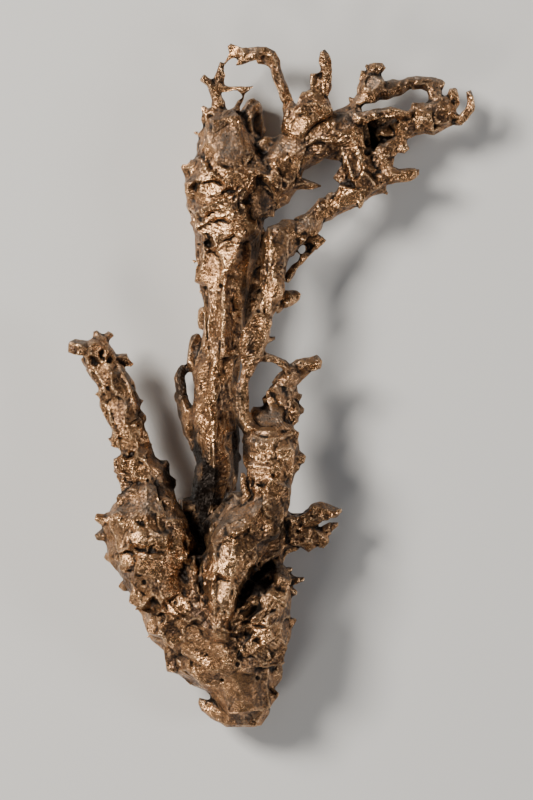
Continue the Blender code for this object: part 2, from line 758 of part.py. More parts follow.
def add_front_crystals(bm):
    """The named crystals, each let in until its highest corner stands FRONT_RISE above the limb below it."""
    front = BVHTree.FromBMesh(bm)
    down = Vector((0.0, 0.0, -1.0))
    for (column, row), sides, (plan, tip_over, lean) in CRYSTALS:
        turn = Matrix.Rotation(math.radians(-plan), 3, "Z")
        turn = turn @ Matrix.Rotation(math.radians(tip_over), 3, "X")
        turn = turn @ Matrix.Rotation(math.radians(lean), 3, "Y")
        sides = Vector(sides) * STEP
        reach = sum(abs(turn.col[k].z) * sides[k] for k in range(3)) / 2
        surface = front.ray_cast(at(column, row, 800), down)[0]
        place = at(column, row, 0)
        place.z = surface.z + FRONT_RISE - reach
        add_block(bm, place, sides, turn)


def add_spike(bm, root, tip):
    start, end = at(*root[:3]), at(*tip[:3])
    along = end - start
    turn = along.to_track_quat("Z", "Y").to_matrix().to_4x4()
    bmesh.ops.create_cone(
        bm,
        cap_ends=True,
        segments=7,
        radius1=root[3] * STEP,
        radius2=tip[3] * STEP,
        depth=along.length + tip[3] * STEP,
        matrix=Matrix.Translation((start + end) / 2 + along.normalized() * tip[3] * STEP / 2) @ turn,
    )


def add_rod(bm, name, points):
    """A round rod of changing thickness along a smooth line, made as a curve and taken over as a mesh."""
    curve = bpy.data.curves.new(name, "CURVE")
    curve.dimensions = "3D"
    curve.bevel_depth = STEP
    curve.bevel_resolution = 2
    curve.use_fill_caps = True
    spline = curve.splines.new("POLY")
    spline.points.add(len(points) - 1)
    for point, (column, row, height, radius) in zip(spline.points, points):
        point.co = (*at(column, row, height), 1.0)
        point.radius = radius
    rod = bpy.data.objects.new(name, curve)
    bpy.context.scene.collection.objects.link(rod)
    mesh = bpy.data.meshes.new_from_object(rod.evaluated_get(bpy.context.evaluated_depsgraph_get()))
    mesh.transform(rod.matrix_world)
    bm.from_mesh(mesh)
    bpy.data.objects.remove(rod)
    bpy.data.meshes.remove(mesh)


def add_fuse(specimen, name):
    fuse = specimen.modifiers.new(name, "REMESH")
    fuse.mode = "VOXEL"
    fuse.voxel_size = BASE_SKIN


def add_cut(specimen, name, cutters):
    cut = specimen.modifiers.new(name, "BOOLEAN")
    cut.operation = "DIFFERENCE"
    cut.operand_type = "COLLECTION"
    cut.collection = cutters


def fused_specimen(collection, pits):
    """All limbs, rods, spikes and crystals fused into one skin, with its pits and an uneven relief."""
    rng = random.Random(SEED)
    bm = bmesh.new()
    spots = []
    for name, stations in LIMBS.items():
        add_limb(bm, stations, rng, [] if name in BARE_LIMBS else spots)
    add_crust(bm, spots, rng)
    add_front_crystals(bm)
    for root, tip in SPIKES:
        add_spike(bm, root, tip)
    for name, points in RODS.items():
        add_rod(bm, name, points)
    bmesh.ops.remove_doubles(bm, verts=bm.verts, dist=STEP / 1000)
    mesh = bpy.data.meshes.new("specimen")
    bm.to_mesh(mesh)
    bm.free()
    specimen = bpy.data.objects.new("specimen", mesh)
    collection.objects.link(specimen)

    add_fuse(specimen, "fuse")
    add_cut(specimen, "hollow", pits)

    hackle = specimen.modifiers.new("hackle", "DISPLACE")
    hackle.texture = bpy.data.textures.new("hackle", "VORONOI")
    hackle.texture.noise_scale = 0.0034
    hackle.texture_coords = "LOCAL"
    hackle.strength = HACKLE_DEPTH
    hackle.mid_level = 0.45
    add_fuse(specimen, "fuse_again")
    return specimen


def evaluated_mesh(obj):
    return bpy.data.meshes.new_from_object(obj.evaluated_get(bpy.context.evaluated_depsgraph_get()))


def drop_folded_faces(bm):
    """Removes each pair of triangles that lie back to back on the same three points."""
    twins = {}
    for face in bm.faces:
        twins.setdefault(frozenset(vert.index for vert in face.verts), []).append(face)
    folded = [face for faces in twins.values() if len(faces) > 1 for face in faces]
    bmesh.ops.delete(bm, geom=folded, context="FACES")


def thin_out(branch, ratio):
    """Keeps the given share of the triangles, most of them where the relief is sharp."""
    thin = branch.modifiers.new("thin", "DECIMATE")
    thin.ratio = ratio
    thin.use_collapse_triangulate = True
    mesh = evaluated_mesh(branch)
    branch.modifiers.clear()
    bm = bmesh.new()
    bm.from_mesh(mesh)
    drop_folded_faces(bm)
    for vert in bm.verts:
        if vert.co.z < REST_SNAP:
            vert.co.z = 0.0
    bm.to_mesh(mesh)
    bm.free()
    branch.data = mesh


def add_cutter(collection, name, mesh_maker):
    bm = bmesh.new()
    mesh_maker(bm)
    mesh = bpy.data.meshes.new(name)
    bm.to_mesh(mesh)
    bm.free()
    cutter = bpy.data.objects.new(name, mesh)
    cutter.hide_render = True
    cutter.display_type = "WIRE"
    collection.objects.link(cutter)
    return cutter


def add_hollow_cutters(collection):
    """An icosphere for each pit, and wedges between the steps of each crevice."""
    for number, (middle, half_widths) in enumerate(PITS, start=1):
        size = Matrix.Diagonal((*(Vector(half_widths) * STEP), 1.0))

        def ball(bm, place=Matrix.Translation(at(*middle)) @ size):
            bmesh.ops.create_icosphere(bm, subdivisions=2, radius=1.0, matrix=place)

        add_cutter(collection, f"cut_pit_{number}", ball)
    for name, run in CREVICES.items():
        for number, (start, end) in enumerate(zip(run, run[1:]), start=1):

            def wedge(bm, start=start, end=end):
                along = at(*end[:3]) - at(*start[:3])
                across = Vector((-along.y, along.x, 0.0)).normalized() * STEP
                for column, row, height, half_width, depth in (start, end):
                    middle = at(column, row, height + depth)
                    bm.verts.new(middle + across * half_width * 2)
                    bm.verts.new(middle - across * half_width * 2)
                    bm.verts.new(at(column, row, height - depth))
                bmesh.ops.convex_hull(bm, input=bm.verts)

            add_cutter(collection, f"cut_{name}_{number}", wedge)


def cut_forks_and_floor(specimen, collection):
    """Kerfs part the branches at their forks, and a block below the surface flattens what rests on it."""

    def floor(bm):
        side = 2 * SPECIMEN_LENGTH
        bmesh.ops.create_cube(bm, size=side, matrix=Matrix.Translation((0.0, 0.0, -side / 2)))

    add_cutter(collection, "cut_floor", floor)
    for name, (middle, normal, radius) in FORKS.items():
        turn = Vector(normal).to_track_quat("Z", "Y").to_matrix().to_4x4()

        def kerf(bm, middle=middle, turn=turn, radius=radius):
            bmesh.ops.create_cone(
                bm,
                cap_ends=True,
                segments=24,
                radius1=radius * STEP,
                radius2=radius * STEP,
                depth=FORK_GAP,
                matrix=Matrix.Translation(at(*middle)) @ turn,
            )

        add_cutter(collection, "cut_" + name, kerf)
    add_cut(specimen, "part", collection)


def loose_bodies(mesh):
    """The separate closed bodies of a mesh, each as a new bmesh."""
    bm = bmesh.new()
    bm.from_mesh(mesh)
    bmesh.ops.triangulate(bm, faces=bm.faces)
    drop_folded_faces(bm)
    left = set(bm.verts)
    bodies = []
    while left:
        found, todo = set(), [next(iter(left))]
        while todo:
            vert = todo.pop()
            if vert in found:
                continue
            found.add(vert)
            todo.extend(edge.other_vert(vert) for edge in vert.link_edges)
        left -= found
        bodies.append(sorted(found, key=lambda v: v.index))
    made = []
    for verts in bodies:
        body = bmesh.new()
        twin = {vert: body.verts.new(vert.co) for vert in verts}
        for face in sorted({f for v in verts for f in v.link_faces}, key=lambda f: f.index):
            body.faces.new([twin[v] for v in face.verts])
        made.append(body)
    bm.free()
    return made


def nearest_distance(body, point):
    return min((vert.co - point).length for vert in body.verts)


def centre_over_origin(branches):
    """Moves the meshes so that the middle of the whole box lies over the origin."""
    points = [vert.co for branch in branches for vert in branch.data.vertices]
    shift = Matrix.Identity(4)
    for axis in (0, 1):
        values = [point[axis] for point in points]
        shift[axis][3] = -(min(values) + max(values)) / 2
    for branch in branches:
        branch.data.transform(shift)
    print("moved by", round(shift[0][3], 6), round(shift[1][3], 6))


def main():
    clear_scene()
    nugget = new_collection("native_copper_nugget")
    forks = new_collection("fork_cutters")
    pits = new_collection("pit_cutters")
    material = copper_material()

    add_hollow_cutters(pits)
    specimen = fused_specimen(nugget, pits)
    cut_forks_and_floor(specimen, forks)

    bodies = loose_bodies(evaluated_mesh(specimen))
    bpy.data.objects.remove(specimen, do_unlink=True)
    share = FACE_BUDGET / sum(len(body.faces) for body in bodies)
    branches = []
    for name, seed_point in BRANCHES.items():
        body = min(bodies, key=lambda b: nearest_distance(b, at(*seed_point)))
        mesh = bpy.data.meshes.new(name)
        body.to_mesh(mesh)
        mesh.materials.append(material)
        branch = bpy.data.objects.new(name, mesh)
        nugget.objects.link(branch)
        thin_out(branch, share)
        branches.append(branch)
    centre_over_origin(branches)


main()
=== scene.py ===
"""Native copper nugget, lying on its back and seen from straight above."""

import math

import bmesh
import bpy
import numpy as np
from mathutils import Matrix, Vector, noise
from mathutils.bvhtree import BVHTree
from mathutils.kdtree import KDTree


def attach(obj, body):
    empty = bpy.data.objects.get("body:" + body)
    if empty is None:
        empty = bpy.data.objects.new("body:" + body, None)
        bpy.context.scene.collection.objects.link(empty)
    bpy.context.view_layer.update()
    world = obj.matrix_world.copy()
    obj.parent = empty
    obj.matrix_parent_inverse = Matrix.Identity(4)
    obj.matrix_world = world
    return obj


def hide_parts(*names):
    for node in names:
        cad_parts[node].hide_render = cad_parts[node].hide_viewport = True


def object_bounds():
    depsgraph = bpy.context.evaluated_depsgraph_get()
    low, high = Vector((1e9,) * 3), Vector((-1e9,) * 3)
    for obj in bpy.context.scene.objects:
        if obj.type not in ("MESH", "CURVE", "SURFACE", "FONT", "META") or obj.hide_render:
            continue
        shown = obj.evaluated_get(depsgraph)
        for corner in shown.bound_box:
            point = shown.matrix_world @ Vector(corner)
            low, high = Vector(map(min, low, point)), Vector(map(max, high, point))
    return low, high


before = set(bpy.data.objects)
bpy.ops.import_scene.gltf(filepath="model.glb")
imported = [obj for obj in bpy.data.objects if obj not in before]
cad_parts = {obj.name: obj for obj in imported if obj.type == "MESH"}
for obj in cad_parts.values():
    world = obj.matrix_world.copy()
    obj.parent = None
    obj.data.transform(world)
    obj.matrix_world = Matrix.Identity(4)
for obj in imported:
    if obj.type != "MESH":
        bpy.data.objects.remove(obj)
cad_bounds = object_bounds()

# The survey grid of the CAD source: a quarter of a millimetre to a step.
STEP = 0.00025
MID_COLUMN, MID_ROW = 271.0, 386.0
SHIFT_X, SHIFT_Y = -0.000196, -0.00045

SKIN = 0.00028  # voxel of the fine surface
SWELL = 0.0002  # closes the kerfs between the CAD branches
PIECE_LIMIT = 190000  # most triangles in one piece
CORE_RELAX = 6  # rounds that take the corners off the CAD triangles
INSET = 0.000006  # keeps the surface just inside the CAD box
SEED = 71
STRIPE = 0.0007  # from one crystal layer to the next in the finest banding
LARGE_DISH, MIDDLE_DISH, SMALL_DISH = 0.0052, 0.0023, 0.0011  # about the width of a dish
LARGE_RELIEF, MIDDLE_RELIEF, SMALL_RELIEF = 0.0003, 0.00008, 0.00003  # what scales their relief
DISH_SINK = 0.00005  # lowers the surface evenly where the dishes are laid on
LARGE_FACES, SMALL_FACES = 15000, 80000  # about how many flat crystal faces the nugget gets, in two goes
LARGE_JUMP, SMALL_JUMP = 0.00026, 0.00007  # typical distance of their corners in or out
LONGEST_PULL = 0.0004  # most that a point moves towards its crystal face
THIN_LIMB = 0.0004  # where smoothing would shrink a limb by about this or more, its faces are weakened
SHARP_ANGLE = 38  # an edge that bends by more degrees than this is shaded as a crease

SKY_SAMPLES, SKY_RAYS = 16000, 14  # places where the open sky is measured, and rays from each
SKY_REACH = 0.012  # length of a ray
SKY_START = 0.0003  # how far off the surface a ray starts

SMALL_AREA = 4e-7  # triangles larger than this are marked in seven places
PLACES_ON_TRIANGLE = (
    (1 / 3, 1 / 3),
    (0.1, 0.1),
    (0.8, 0.1),
    (0.1, 0.8),
    (0.45, 0.1),
    (0.1, 0.45),
    (0.45, 0.45),
)

BARE_COPPER = (0.52, 0.275, 0.13, 1)
# Mixed onto the ridges: polished wear and a painted highlight.
POLISH_AND_HIGHLIGHT_COPPER = (1.0, 0.68, 0.40, 1)
BROWN_PATINA = (0.087, 0.051, 0.035, 1)
# Grey tarnish, and painted shade on the sides that face up the specimen.
GREY_TARNISH_AND_SHADE = (0.12, 0.096, 0.078, 1)
# Dark oxide and painted shade, mixed into the recesses.
BLACK_OXIDE_AND_SHADE = (0.008, 0.004, 0.002, 1)

NODES = sorted(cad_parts)


def at(column, row, height=0.0):
    return Vector(((column - MID_COLUMN) * STEP + SHIFT_X, (MID_ROW - row) * STEP + SHIFT_Y, height))


# ---------------------------------------------------------------- the rough body

# A spur: column and row of its root, of its tip, radius at each in steps, and how far it stands
# above or below the surface at its root.
SPURS = [
    (198, 133, 193, 131, 4, 1.5, -14),
    (192, 236, 187, 234, 4, 1.5, -10),
    (196, 262, 191, 259, 4, 1.5, -12),
    (203, 293, 199, 290, 4, 1.5, -12),
    (252, 103, 250, 97, 4, 2, -6),
    (333, 124, 338, 120, 4, 1.5, -4),
    (352, 101, 349, 96, 4, 2, -6),
    (386, 84, 391, 81, 3, 1.5, -4),
    (404, 144, 409, 146, 4, 2, -6),
    (383, 190, 388, 194, 4, 1.5, -6),
    (358, 205, 360, 211, 4, 1.5, -8),
    (344, 208, 345, 213, 3, 1.5, -6),
    (140, 402, 144, 400, 4, 1.5, -8),
    (149, 446, 153, 443, 4, 2, -8),
    (112, 440, 107, 438, 4, 1.5, -8),
    (118, 482, 114, 484, 4, 2, -8),
    (286, 640, 291, 637, 4, 1.5, -16),
    (281, 664, 286, 661, 4, 1.5, -14),
    (150, 636, 145, 639, 4, 1.5, -16),
    (186, 684, 183, 689, 4, 1.5, -12),
    (247, 503, 243, 472, 7, 2.5, -10),
]

# Large flat faces: column, row, radius along, radius across, turn in degrees, then lean to the
# right and lean up the specimen, and how far the middle is raised in steps.
FACES = [
    # head and ledges of the main stem
    (198, 176, 14, 10, 50, -0.50, 0.30, 2),
    (208, 190, 15, 8, 14, -0.15, 0.30, 2),
    (232, 182, 10, 10, 0, 0.20, -0.25, -2),
    (214, 206, 26, 8, 22, -0.10, 0.40, 2),
    (222, 218, 24, 8, 22, -0.25, -0.15, 1),
    (216, 232, 22, 9, 20, -0.25, 0.30, 1),
    (248, 226, 13, 14, 0, 0.30, 0.20, 2),
    (264, 204, 14, 20, 0, 0.40, 0.00, 1),
    (228, 256, 12, 18, -20, -0.15, 0.25, 2),
    (210, 268, 9, 22, 8, -0.50, 0.10, 0),
    (246, 268, 9, 22, 0, 0.45, 0.05, 0),
    (226, 146, 17, 18, 0, 0.00, 0.10, 0),
    (258, 124, 7, 14, 0, 0.40, 0.10, 0),
    # base: left lobe
    (127, 559, 8, 7, 0, -0.25, 0.35, 3),
    (178, 537, 8, 13, -10, 0.30, 0.20, 2),
    (152, 534, 15, 10, 0, -0.10, 0.35, 1),
    (138, 534, 10, 8, 0, -0.40, 0.20, 1),
    (150, 566, 14, 8, 0, -0.05, -0.30, 0),
    (150, 620, 9, 22, -16, -0.50, -0.05, 0),
    (176, 606, 12, 9, 20, -0.20, 0.25, 2),
    (190, 632, 12, 8, 30, -0.15, -0.20, 1),
    # base: centre and right lobes, and tip
    (226, 560, 9, 16, 8, -0.25, 0.25, 2),
    (244, 548, 9, 18, -24, 0.25, 0.30, 1),
    (222, 596, 8, 16, 6, -0.20, 0.15, 2),
    (240, 524, 12, 8, 20, -0.05, 0.50, 1),
    (272, 600, 8, 14, -30, 0.20, 0.25, 2),
    (262, 634, 16, 7, -34, -0.10, 0.35, 2),
    (258, 650, 16, 6, -34, 0.00, -0.35, 1),
    # front branch and saddle
    (268, 418, 14, 9, 20, 0.05, 0.45, 0),
    (266, 442, 10, 6, 8, -0.05, 0.25, 2),
    (284, 452, 8, 10, 0, 0.35, 0.10, 1),
    (262, 468, 9, 12, 6, -0.25, -0.05, 0),
    (278, 484, 9, 9, 0, 0.20, -0.15, 1),
    # left branch
    (117, 415, 9, 13, -20, -0.25, 0.15, 2),
    (134, 408, 6, 16, -20, 0.45, 0.10, 0),
    (124, 446, 10, 9, 0, -0.20, -0.05, 1),
    (104, 372, 8, 12, -30, -0.30, 0.00, 1),
    (120, 378, 7, 14, -25, 0.40, 0.20, 0),
    (140, 472, 10, 8, 0, 0.10, 0.30, 1),
    # crown
    (348, 200, 12, 7, 30, 0.05, -0.15, 2),
    (388, 131, 8, 5, 0, 0.00, 0.40, 2),
    (396, 113, 15, 5, 4, -0.05, 0.35, 2),
    (352, 165, 9, 14, 24, 0.20, 0.05, 1),
    (322, 130, 14, 8, 20, -0.05, 0.30, 1),
    (298, 126, 8, 12, 0, -0.30, 0.10, 1),
    (374, 84, 8, 9, 0, -0.20, 0.20, 1),
    (366, 180, 9, 9, 0, 0.15, -0.20, 1),
    (288, 170, 8, 16, 20, 0.20, 0.05, 0),
    (440, 118, 9, 9, 0, 0.10, 0.10, 1),
]

# Sharp crests: points of each line, then its half width and height in steps.
CRESTS = [
    ([(205, 169), (212, 173), (221, 181), (231, 186)], 3.5, 3.5),
    ([(244, 193), (241, 202), (247, 211), (239, 219), (236, 229), (228, 237), (215, 241)], 3, 3),
    ([(198, 212), (214, 204), (232, 196), (241, 190)], 3, 3),
    ([(196, 228), (212, 222), (228, 214)], 2.5, 2.5),
    ([(213, 250), (227, 243), (240, 246)], 3, 3),
    (
        [(240, 250), (232, 261), (226, 272), (224, 290), (224, 312), (223, 332), (222, 352), (219, 372)],
        3,
        4,
    ),
    ([(204, 300), (208, 318), (209, 334)], 2.5, 2.5),
    ([(214, 392), (215, 412), (214, 440), (213, 470)], 2.5, 3),
    ([(192, 156), (201, 160), (207, 168)], 2.5, 2.5),
    ([(136, 552), (150, 553), (163, 554), (175, 551)], 3, 3),
    ([(120, 551), (128, 548), (136, 552), (130, 567)], 2.5, 3),
    ([(186, 520), (189, 534), (188, 550), (182, 560)], 3, 3),
    ([(166, 600), (176, 612), (190, 622), (204, 628)], 2.5, 2.5),
    ([(157, 606), (160, 625), (167, 645)], 3, 3),
    ([(214, 540), (216, 560), (214, 585), (215, 612)], 3, 3),
    ([(262, 545), (250, 562), (240, 580), (232, 600), (226, 618)], 3, 3),
    ([(270, 594), (279, 600), (288, 607)], 3, 3.5),
    ([(219, 626), (230, 631), (244, 630)], 2.5, 3),
    ([(248, 640), (262, 630), (276, 622)], 2.5, 2.5),
    ([(246, 656), (260, 645), (276, 636)], 2.5, 2.5),
    ([(254, 436), (266, 440), (280, 438), (292, 433)], 2.5, 3),
    ([(250, 455), (262, 462), (276, 460), (290, 452)], 2.5, 2.5),
    ([(252, 488), (264, 478), (282, 474)], 2.5, 2.5),
    ([(104, 402), (110, 412), (113, 426), (118, 442), (123, 458)], 2.5, 3),
    ([(93, 366), (100, 378), (106, 392)], 2.5, 2.5),
    ([(112, 352), (122, 372), (130, 390), (135, 408)], 2.5, 3),
    ([(270, 230), (272, 250), (269, 272), (264, 292), (262, 312)], 2.5, 3),
    ([(244, 330), (243, 350), (242, 372)], 2, 2.5),
    ([(286, 160), (300, 148), (316, 140), (334, 138)], 3, 3),
    ([(334, 132), (350, 136), (358, 150), (360, 170)], 3, 3),
    ([(340, 198), (352, 192), (364, 190)], 2.5, 3),
    ([(296, 112), (306, 104), (320, 104), (330, 110)], 2.5, 3),
    ([(376, 112), (390, 110), (404, 111)], 2, 2),
]

# Small dark holes: column, row, radius and depth in steps.
HOLES = [
    (176, 602, 2.5, 4),
    (143, 583, 3, 4),
    (206, 655, 3, 4),
    (222, 680, 2, 3),
    (258, 678, 2, 3),
    (238, 664, 2, 3),
    (264, 620, 3, 5),
    (246, 634, 2.5, 4),
    (250, 530, 3, 4),
    (198, 244, 2.5, 4),
    (210, 116, 3, 5),
    (238, 112, 3, 6),
    (132, 454, 2.5, 4),
    (148, 480, 2.5, 4),
    (369, 128, 5, 8),
    (371, 142, 5, 9),
    (368, 152, 4, 7),
    (304, 106, 2.5, 4),
    (430, 120, 2.5, 4),
    (298, 532, 4, 7),
]

# Quiet patches where the fine relief is weak: column, row, radius along and across, how weak, and
# how grey with tarnish.
QUIET = [
    (268, 417, 20, 13, 0.85, 1.0),
    (226, 144, 26, 24, 0.85, 0.8),
    (148, 622, 13, 28, 0.6, 0.3),
    (196, 642, 46, 34, 0.45, 0.1),
    (226, 606, 20, 40, 0.35, 0.1),
    (264, 204, 14, 18, 0.7, 0.3),
    (258, 122, 9, 17, 0.6, 1.0),
    (246, 692, 36, 42, 0.9, 0.3),
    (288, 388, 20, 22, 0.4, 0.5),
    (216, 440, 24, 50, 0.3, 0.1),
    (180, 400, 10, 40, 0.5, 0.6),
    (282, 148, 34, 12, 0.4, 0.8),
    (350, 100, 20, 12, 0.5, 0.9),
    (234, 510, 14, 24, 0.4, 0.9),
    (216, 540, 9, 26, 0.3, 0.7),
    (156, 468, 12, 30, 0.3, 0.6),
    (286, 250, 12, 30, 0.2, 0.4),
    (372, 84, 16, 12, 0.3, 0.8),
    (420, 104, 30, 12, 0.2, 0.6),
    (300, 225, 26, 10, 0.2, 0.7),
]

# Stacked layers: column, row, radius along and across, direction across the layers in degrees,
# spacing in steps and strength.
LAYERS = [
    (216, 216, 26, 30, 66, 4.0, 0.45),
    (228, 260, 18, 20, 75, 4.0, 0.3),
    (264, 646, 26, 24, 56, 3.5, 0.35),
    (262, 462, 18, 26, 84, 5.5, 0.5),
    (152, 545, 30, 26, 84, 5.5, 0.35),
    (222, 400, 16, 60, 8, 5.0, 0.4),
    (128, 440, 18, 30, 70, 5.0, 0.3),
    (240, 560, 26, 30, 40, 4.5, 0.3),
]


# Places coloured nearly black: column, row, radius along and across, turn, and how dark. This is painted
# shade in part, and dark oxide in part, which is a guess.
SHADE_AND_OXIDE_PLACES = [
    (203, 532, 8, 44, -4, 1.0),
    (208, 498, 28, 18, 0, 1.0),
    (194, 462, 10, 40, 0, 1.0),
    (212, 478, 26, 28, 0, 1.0),
    (126, 412, 11, 66, 20, 0.45),
    (238, 446, 9, 60, 0, 0.95),
    (172, 478, 10, 30, 30, 0.95),
    (147, 428, 7, 44, 20, 0.75),
    (180, 398, 10, 52, -4, 0.9),
    (195, 340, 6, 22, 0, 0.7),
    (276, 528, 10, 30, 12, 0.8),
    (300, 404, 12, 16, 0, 0.6),
    (100, 596, 14, 40, -30, 0.5),
    (265, 222, 6, 30, 6, 0.8),
    (258, 118, 8, 18, 0, 0.6),
    (250, 588, 8, 30, -32, 0.8),
    (246, 290, 5, 60, 4, 0.8),
    (254, 236, 7, 26, 8, 0.7),
    (278, 530, 8, 22, 10, 0.7),
    (184, 573, 5, 12, 12, 1.0),
    (126, 590, 10, 30, -30, 0.6),
    (371, 142, 8, 16, 0, 0.8),
    (238, 470, 6, 36, 0, 0.7),
]


# Places coloured as bright metal, partly bare metal and partly painted light: column, row, radius along and
# across, and how much.
BARE_AND_LIT_PLACES = [
    (208, 182, 18, 18, 1.0),
    (222, 222, 28, 30, 1.2),
    (228, 256, 14, 20, 1.2),
    (214, 330, 12, 60, 0.4),
    (150, 548, 40, 34, 0.9),
    (178, 536, 12, 16, 1.0),
    (222, 580, 16, 46, 0.8),
    (276, 600, 16, 18, 0.7),
    (266, 636, 18, 14, 0.6),
    (146, 620, 10, 30, 0.7),
    (272, 446, 22, 24, 0.8),
    (246, 404, 8, 26, 1.0),
    (350, 198, 20, 10, 0.9),
    (264, 330, 10, 60, 0.5),
    (380, 126, 20, 14, 0.5),
    (314, 124, 22, 16, 0.5),
]


def as_arrays(mesh):
    points = np.empty(len(mesh.vertices) * 3)
    mesh.vertices.foreach_get("co", points)
    mesh.calc_loop_triangles()
    triangles = np.empty(len(mesh.loop_triangles) * 3, np.int32)
    mesh.loop_triangles.foreach_get("vertices", triangles)
    return points.reshape(-1, 3), triangles.reshape(-1, 3)


def mesh_from(name, points, faces):
    mesh = bpy.data.meshes.new(name)
    mesh.vertices.add(len(points))
    mesh.vertices.foreach_set("co", points.ravel())
    mesh.loops.add(faces.size)
    mesh.loops.foreach_set("vertex_index", faces.ravel())
    mesh.polygons.add(len(faces))
    mesh.polygons.foreach_set("loop_start", np.arange(0, faces.size, faces.shape[1], dtype=np.int32))
    mesh.update(calc_edges=True)
    mesh.validate()
    return mesh


def point_normals(points, triangles):
    a, b, c = (points[triangles[:, k]] for k in range(3))
    across = np.cross(b - a, c - a)
    total = np.zeros_like(points)
    for k in range(3):
        for axis in range(3):
            total[:, axis] += np.bincount(triangles[:, k], across[:, axis], len(points))
    return total / (np.linalg.norm(total, axis=1, keepdims=True) + 1e-12)


class Spread:
    """Averages values over the neighbours of each point of a mesh."""

    def __init__(self, count, triangles):
        ends = np.concatenate([triangles[:, [0, 1]], triangles[:, [1, 2]], triangles[:, [2, 0]]])
        self.start, self.end = ends[:, 0], ends[:, 1]
        self.count = count
        self.degree = np.maximum(np.bincount(self.start, minlength=count), 1)

    def __call__(self, values, times, keep=0.3):
        values = values.astype(float)
        for _ in range(times):
            if values.ndim == 1:
                mean = np.bincount(self.start, values[self.end], self.count) / self.degree
            else:
                mean = np.empty_like(values)
                for axis in range(values.shape[1]):
                    total = np.bincount(self.start, values[self.end, axis], self.count)
                    mean[:, axis] = total / self.degree
            values = keep * values + (1 - keep) * mean
        return values


def cad_shape():
    """The CAD branches, each swollen a little so that they meet again at their kerfs."""
    bm = bmesh.new()
    for name in NODES:
        points, triangles = as_arrays(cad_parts[name].data)
        tidy = np.round(points, 7)
        unique, index = np.unique(tidy, axis=0, return_inverse=True)
        triangles = index.reshape(-1)[triangles]
        swollen = unique + SWELL * point_normals(unique, triangles)
        mesh = mesh_from("swollen", swollen, triangles)
        bm.from_mesh(mesh)
        bpy.data.meshes.remove(mesh)
    return bm


def add_spurs(bm, tree):
    for column, row, tip_column, tip_row, radius, tip_radius, rise in SPURS:
        hit = tree.ray_cast(at(column, row, 0.2), Vector((0, 0, -1)))[0]
        if hit is None:
            continue
        start = Vector((hit.x, hit.y, hit.z + rise * STEP))
        tip = at(tip_column, tip_row, start.z)
        along = tip - start
        turn = along.to_track_quat("Z", "Y").to_matrix().to_4x4()
        bmesh.ops.create_cone(
            bm,
            cap_ends=True,
            segments=6,
            radius1=radius * STEP,
            radius2=tip_radius * STEP,
            depth=along.length,
            matrix=Matrix.Translation((start + tip) / 2) @ turn,
        )


def modified(mesh, kind, **settings):
    """The mesh after one modifier."""
    holder = bpy.data.objects.new("holder", mesh)
    bpy.context.scene.collection.objects.link(holder)
    modifier = holder.modifiers.new("change", kind)
    for setting, value in settings.items():
        setattr(modifier, setting, value)
    done = bpy.data.meshes.new_from_object(holder.evaluated_get(bpy.context.evaluated_depsgraph_get()))
    bpy.data.objects.remove(holder)
    return done


def fused(bm, voxel):
    mesh = bpy.data.meshes.new("rough")
    bm.to_mesh(mesh)
    return modified(mesh, "REMESH", mode="VOXEL", voxel_size=voxel)


def thinned(mesh, ratio):
    return modified(mesh, "DECIMATE", ratio=ratio, use_collapse_triangulate=True)


rough_bm = cad_shape()
rough_tree = BVHTree.FromBMesh(rough_bm)
add_spurs(rough_bm, rough_tree)
body_mesh = fused(rough_bm, SKIN)
rough_bm.free()
points, triangles = as_arrays(body_mesh)
spread = Spread(len(points), triangles)
normals = point_normals(points, triangles)
points -= SWELL * normals
for _ in range(CORE_RELAX):
    points += 0.62 * (spread(points, 1, 0) - points)
    points -= 0.64 * (spread(points, 1, 0) - points)
print("fine surface:", len(points), "points,", len(triangles), "triangles")

# ---------------------------------------------------------------- the relief

rng = np.random.default_rng(SEED)
plain_normals = spread(normals, 10)
plain_normals /= np.linalg.norm(plain_normals, axis=1, keepdims=True) + 1e-12
columns = (points[:, 0] - SHIFT_X) / STEP + MID_COLUMN
rows = MID_ROW - (points[:, 1] - SHIFT_Y) / STEP
facing = plain_normals[:, 2]


def oval(column, row, along, across, turn=0.0):
    """Distance from the middle of an oval, 1 on its edge."""
    c, s = math.cos(math.radians(turn)), math.sin(math.radians(turn))
    u = (columns - column) * c - (rows - row) * s
    v = (columns - column) * s + (rows - row) * c
    return np.hypot(u / along, v / across)


def front_height(column, row):
    """Height of the topmost surface over a survey point."""
    hit = rough_tree.ray_cast(at(column, row, 0.2), Vector((0, 0, -1)))[0]
    return None if hit is None else hit.z


quiet, grey_patch = np.zeros(len(points)), np.zeros(len(points))
for column, row, along, across, amount, grey in QUIET:
    inside = np.clip(1.6 - 1.6 * oval(column, row, along, across), 0, 1) * np.clip(facing * 3, 0, 1)
    quiet = np.maximum(quiet, amount * inside)
    grey_patch = np.maximum(grey_patch, grey * inside)


def dishes(cell, stretch, tilt, step):
    """Shallow dishes that meet in sharp ridges: their relief, the dish of each point, and how many dishes
    there are.
    """
    scaled = points / (cell * np.array([1.0, stretch, 1.0]))
    a, b, c = (scaled[triangles[:, k]] for k in range(3))
    count = int(np.linalg.norm(np.cross(b - a, c - a), axis=1).sum() / 2)
    middles = scaled[rng.choice(len(points), count, replace=False)]
    tree = KDTree(count)
    for k, middle in enumerate(middles):
        tree.insert(middle, k)
    tree.balance()
    near = np.array([[found[1] for found in tree.find_n(p, 5)] for p in scaled])
    away = scaled[:, None, :] - middles[near]
    lean = tilt * rng.normal(size=(count, 3))
    rise = step * rng.normal(size=count)
    value = (away**2).sum(2) + (away * lean[near]).sum(2) + rise[near]
    best = value.argmin(1)
    every = np.arange(len(points))
    relief = value[every, best]
    return relief - relief.mean(), near[every, best], count


